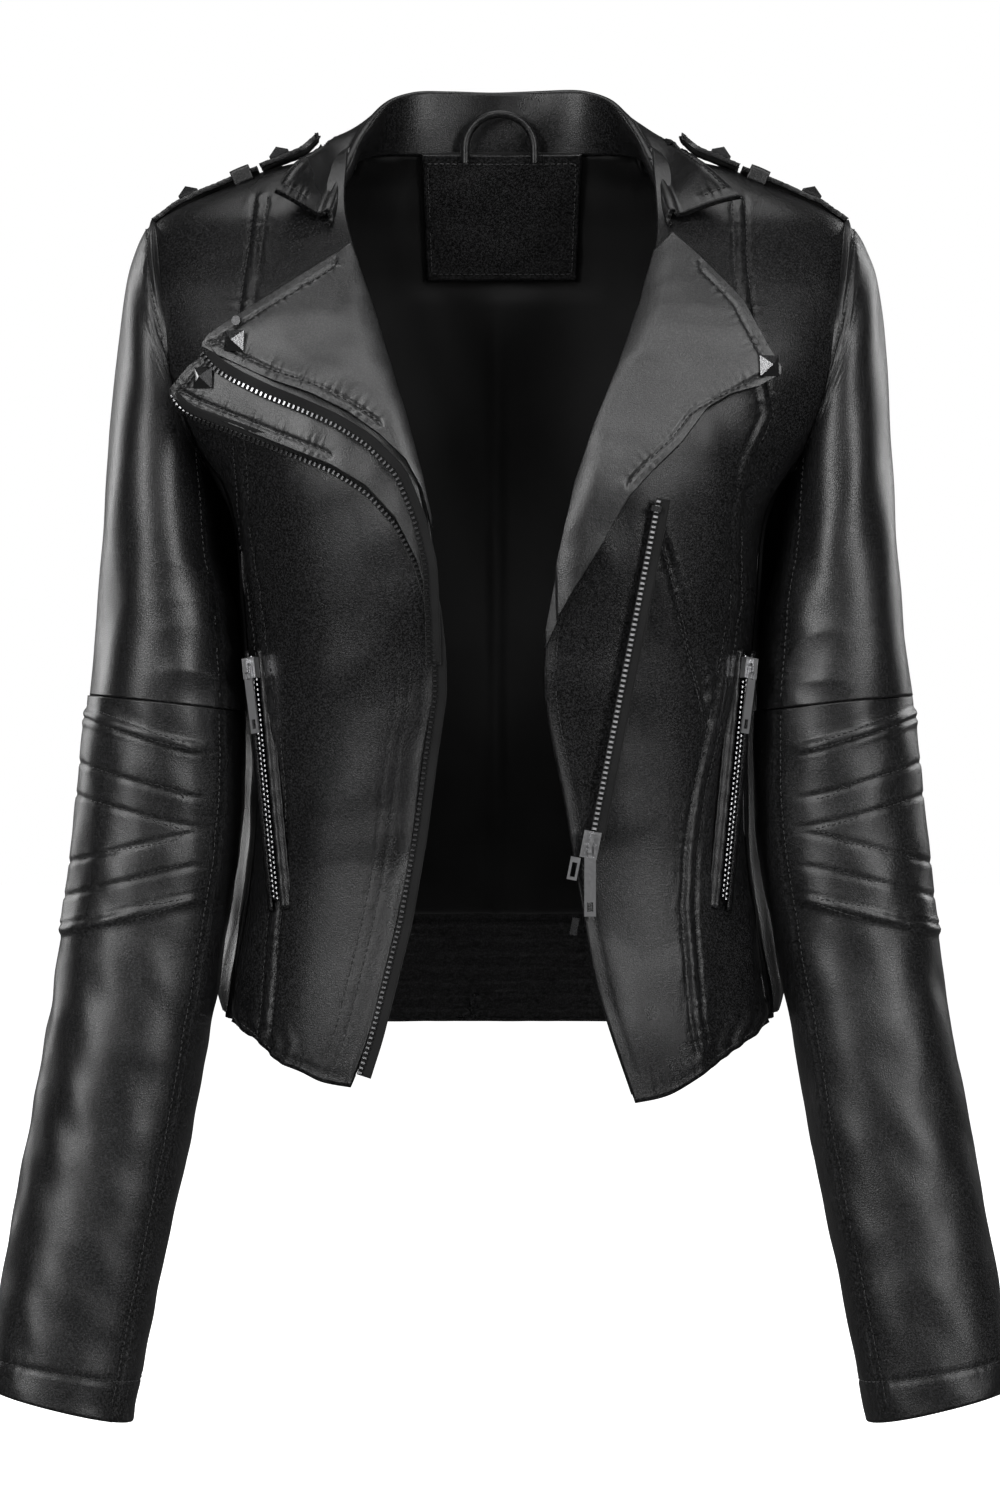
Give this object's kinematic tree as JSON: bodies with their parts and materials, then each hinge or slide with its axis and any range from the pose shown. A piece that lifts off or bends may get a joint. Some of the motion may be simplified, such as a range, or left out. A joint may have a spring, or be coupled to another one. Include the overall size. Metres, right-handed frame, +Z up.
{
  "type": "leather riding jacket",
  "caption": "Cropped open-front leather riding jacket with notched lapels, asymmetric zip, zipped side pockets, epaulettes, pyramid studs and quilted elbow panels.",
  "frame": {"origin": "inner crown of the hang loop, where a coat hook bears", "axes": "+Z up, +X to the wearer's left, the front faces -Y"},
  "size_m": [0.5432, 0.2196, 0.7165],
  "materials": {
    "leather_black": "semi-gloss pebbled black leather",
    "lining_black": "satin black lining",
    "zip_metal": "dark nickel teeth on black woven tape",
    "dark_chrome": "polished dark chrome"
  },
  "bodies": {
    "jacket_body": {"back_panel": "leather_black", "back_waistband": "leather_black", "right_side_panel": "leather_black", "left_side_panel": "leather_black", "right_shoulder_panel": "leather_black", "left_shoulder_panel": "leather_black", "back_lining": "lining_black", "right_side_lining": "lining_black", "left_side_lining": "lining_black", "neck_patch": "lining_black", "hang_loop": "leather_black", "collar_stand": "leather_black", "collar_leaf": "leather_black", "right_epaulette_strap": "leather_black", "left_epaulette_strap": "leather_black", "epaulette_keepers": "leather_black", "epaulette_studs": "dark_chrome"},
    "right_tab": {"right_epaulette_tab": "leather_black", "right_tab_stud": "dark_chrome"},
    "left_tab": {"left_epaulette_tab": "leather_black", "left_tab_stud": "dark_chrome"},
    "right_front": {"right_front_panel": "leather_black", "right_front_facing": "leather_black", "right_front_lining": "lining_black", "right_lapel": "leather_black", "right_lapel_flap": "leather_black", "right_outer_zip": "zip_metal", "right_inner_zip": "zip_metal", "right_lapel_studs": "dark_chrome", "right_pocket_zip": "zip_metal", "right_pocket_bag": "lining_black"},
    "right_pocket_slider": {"right_pocket_slider": "dark_chrome"},
    "right_pocket_pull": {"right_pocket_pull": "dark_chrome"},
    "left_front": {"left_front_panel": "leather_black", "left_front_facing": "leather_black", "left_front_lining": "lining_black", "left_lapel": "leather_black", "left_lapel_stud": "dark_chrome", "main_zip": "zip_metal", "main_zip_stops": "dark_chrome", "left_pocket_zip": "zip_metal", "left_pocket_bag": "lining_black"},
    "left_pocket_slider": {"left_pocket_slider": "dark_chrome"},
    "left_pocket_pull": {"left_pocket_pull": "dark_chrome"},
    "main_slider": {"main_slider": "dark_chrome"},
    "main_pull": {"main_pull": "dark_chrome"},
    "inner_pull": {"inner_pull": "dark_chrome"},
    "right_upper_arm": {"right_upper_sleeve": "leather_black", "right_elbow_upper": "leather_black", "right_upper_sleeve_lining": "lining_black"},
    "right_lower_arm": {"right_elbow_lower": "leather_black", "right_forearm": "leather_black", "right_lower_sleeve_lining": "lining_black"},
    "left_upper_arm": {"left_upper_sleeve": "leather_black", "left_elbow_upper": "leather_black", "left_upper_sleeve_lining": "lining_black"},
    "left_lower_arm": {"left_elbow_lower": "leather_black", "left_forearm": "leather_black", "left_lower_sleeve_lining": "lining_black"}
  },
  "joints": [
    {"name": "right_front_swing", "type": "hinge", "parent": "jacket_body", "child": "right_front", "pos_m": [-0.143, -0.09, -0.3068], "axis": [0, 0, -1], "range_deg": [0, 11]},
    {"name": "right_sleeve_raise", "type": "hinge", "parent": "jacket_body", "child": "right_upper_arm", "pos_m": [-0.188, -0.05, -0.0638], "axis": [0, 1, 0], "range_deg": [0, 25]},
    {"name": "right_elbow_bend", "type": "hinge", "parent": "right_upper_arm", "child": "right_lower_arm", "pos_m": [-0.183, -0.096, -0.3878], "axis": [-1, 0, 0], "range_deg": [0, 40]},
    {"name": "right_tab_lift", "type": "hinge", "parent": "jacket_body", "child": "right_tab", "pos_m": [-0.1303, -0.048, -0.0314], "axis": [0, -1, 0], "range_deg": [0, 60]},
    {"name": "right_pocket_slide", "type": "slide", "parent": "right_front", "child": "right_pocket_slider", "axis": [0.0981, -0.1054, -0.9896], "range_m": [0, 0.108]},
    {"name": "right_pocket_pull_swing", "type": "hinge", "parent": "right_pocket_slider", "child": "right_pocket_pull", "pos_m": [-0.13303, -0.114, -0.30463], "axis": [-0.8208, 0.5538, -0.1404], "range_deg": [0, 45]},
    {"name": "left_front_swing", "type": "hinge", "parent": "jacket_body", "child": "left_front", "pos_m": [0.143, -0.09, -0.3068], "axis": [0, 0, 1], "range_deg": [0, 11]},
    {"name": "left_sleeve_raise", "type": "hinge", "parent": "jacket_body", "child": "left_upper_arm", "pos_m": [0.188, -0.05, -0.0638], "axis": [0, -1, 0], "range_deg": [0, 25]},
    {"name": "left_elbow_bend", "type": "hinge", "parent": "left_upper_arm", "child": "left_lower_arm", "pos_m": [0.183, -0.096, -0.3878], "axis": [-1, 0, 0], "range_deg": [0, 40]},
    {"name": "left_tab_lift", "type": "hinge", "parent": "jacket_body", "child": "left_tab", "pos_m": [0.1303, -0.048, -0.0314], "axis": [0, 1, 0], "range_deg": [0, 60]},
    {"name": "left_pocket_slide", "type": "slide", "parent": "left_front", "child": "left_pocket_slider", "axis": [-0.0981, -0.1054, -0.9896], "range_m": [0, 0.108]},
    {"name": "left_pocket_pull_swing", "type": "hinge", "parent": "left_pocket_slider", "child": "left_pocket_pull", "pos_m": [0.13303, -0.114, -0.30463], "axis": [-0.8208, -0.5538, 0.1404], "range_deg": [0, 45]},
    {"name": "main_slide", "type": "slide", "parent": "left_front", "child": "main_slider", "axis": [0.1909, -0.049, 0.9804], "range_m": [0, 0.158]},
    {"name": "main_pull_swing", "type": "hinge", "parent": "main_slider", "child": "main_pull", "pos_m": [0.04695, -0.15569, -0.39705], "axis": [-0.9816, 0, 0.1912], "range_deg": [0, 90]},
    {"name": "inner_pull_swing", "type": "hinge", "parent": "main_slider", "child": "inner_pull", "pos_m": [0.03941, -0.15212, -0.40336], "axis": [-0.9816, 0, 0.1912], "range_deg": [0, 45]}
  ]
}
